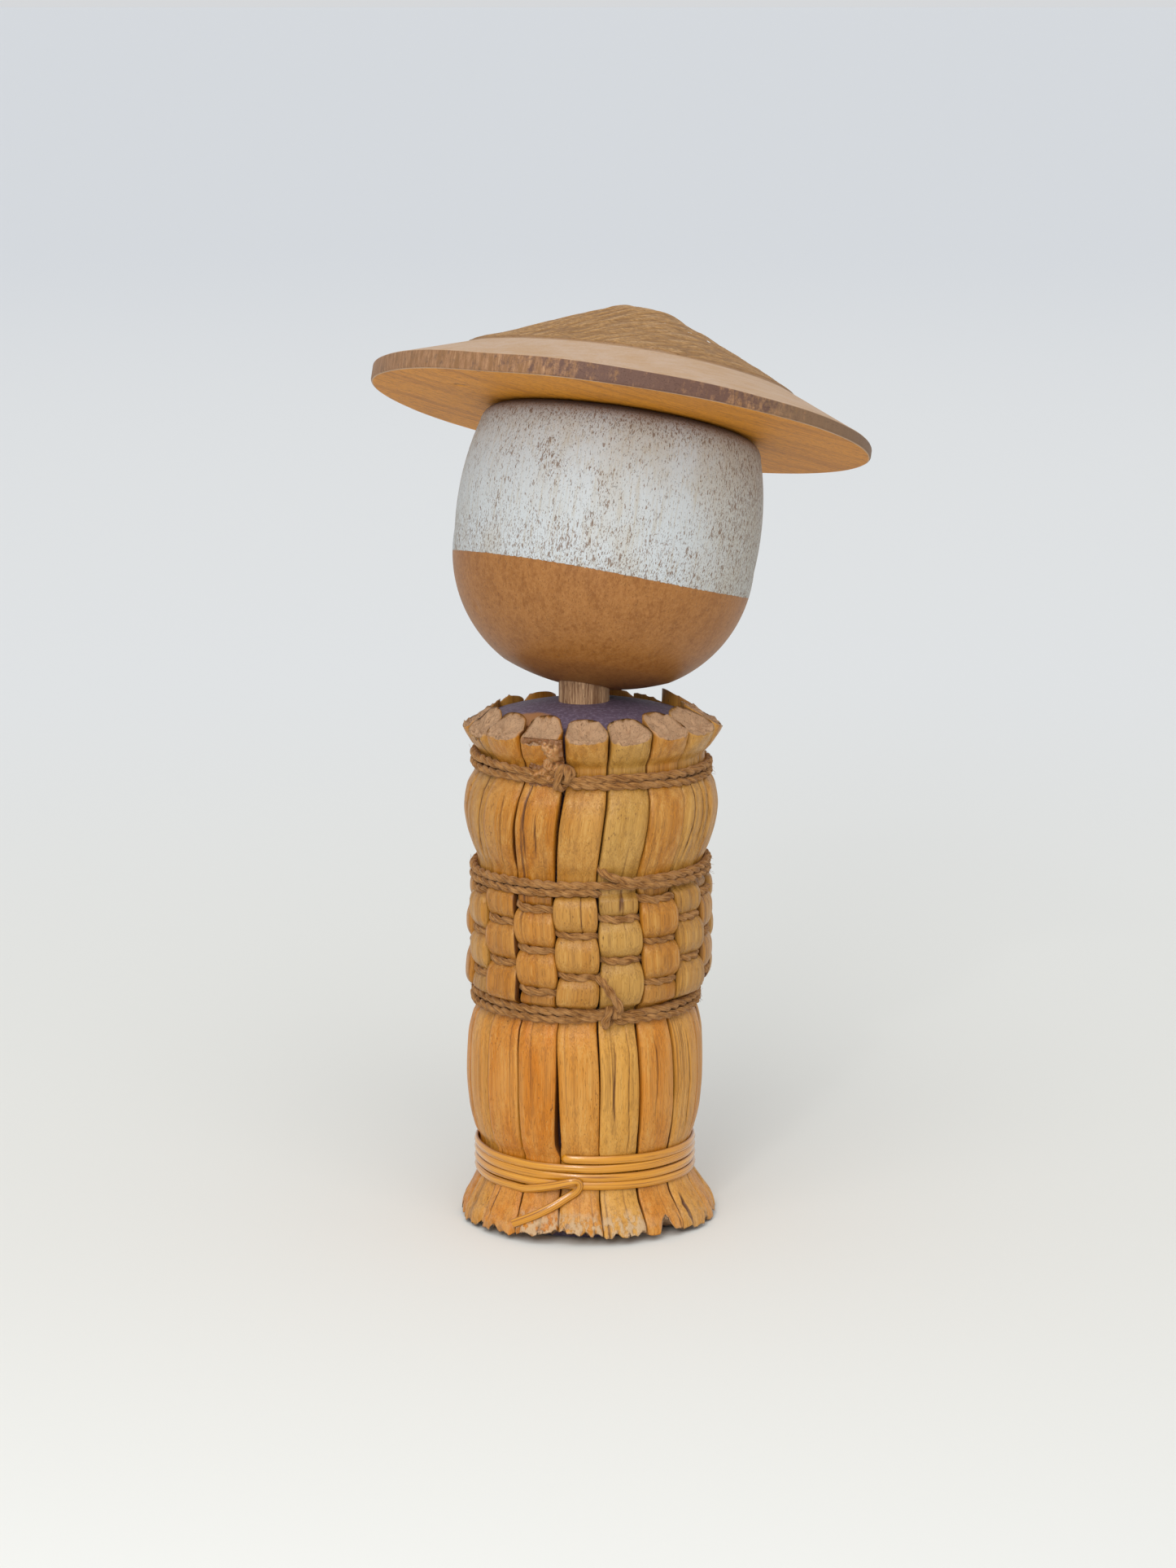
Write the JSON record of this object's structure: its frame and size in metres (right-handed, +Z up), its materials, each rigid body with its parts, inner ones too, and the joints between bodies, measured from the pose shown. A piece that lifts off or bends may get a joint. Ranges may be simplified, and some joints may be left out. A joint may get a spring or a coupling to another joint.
{
  "type": "doll with conical hat",
  "caption": "Turned wooden doll in a wide conical hat, with a peg neck and a body of flattened rush stems bound and woven with twine",
  "frame": {"origin": "centre of the flat base, on the surface that the doll stands on", "axes": "+Z up along the upright body; the head and hat lean towards +X and +Y, so -Y is the side that they lean away from"},
  "size_m": [0.1009, 0.0992, 0.1855],
  "materials": {
    "core_wood": "matt purple stain on the domed top, bare wood elsewhere",
    "dowel_wood": "bare",
    "rush": "dried stem with a faint sheen, pithy cut ends",
    "twine": "twisted bast fibre, hairy",
    "cane": "glossy split cane",
    "head_wood": "thin worn white paint above, bare wood below",
    "hat_wood": "bare, carved on the cone, stained on the rim"
  },
  "bodies": {
    "torso": {"torso_core": "core_wood", "neck_dowel": "dowel_wood", "reed_01": "rush", "reed_02": "rush", "reed_03": "rush", "reed_04": "rush", "reed_05": "rush", "reed_06": "rush", "reed_07": "rush", "reed_08": "rush", "reed_09": "rush", "reed_10": "rush", "reed_11": "rush", "reed_12": "rush", "reed_13": "rush", "reed_14": "rush", "reed_15": "rush", "reed_16": "rush", "reed_17": "rush", "top_binding": "twine", "upper_binding": "twine", "weft": "twine", "lower_binding": "twine", "cane_wrap": "cane"},
    "head": {"head": "head_wood"},
    "hat_peg": {"hat_peg": "dowel_wood"},
    "hat": {"hat": "hat_wood"}
  },
  "joints": [
    {"name": "head_turn", "type": "hinge", "parent": "torso", "child": "head", "pos_m": [-0.0008, 0, 0.11], "axis": [0, 0, 1], "continuous": true},
    {"name": "hat_lift", "type": "slide", "parent": "head", "child": "hat_peg", "axis": [0.1463, 0.2415, 0.9593], "range_m": [0, 0.014]},
    {"name": "hat_turn", "type": "hinge", "parent": "hat_peg", "child": "hat", "pos_m": [0.00711, 0.01307, 0.1619], "axis": [0.1463, 0.2415, 0.9593], "continuous": true}
  ]
}
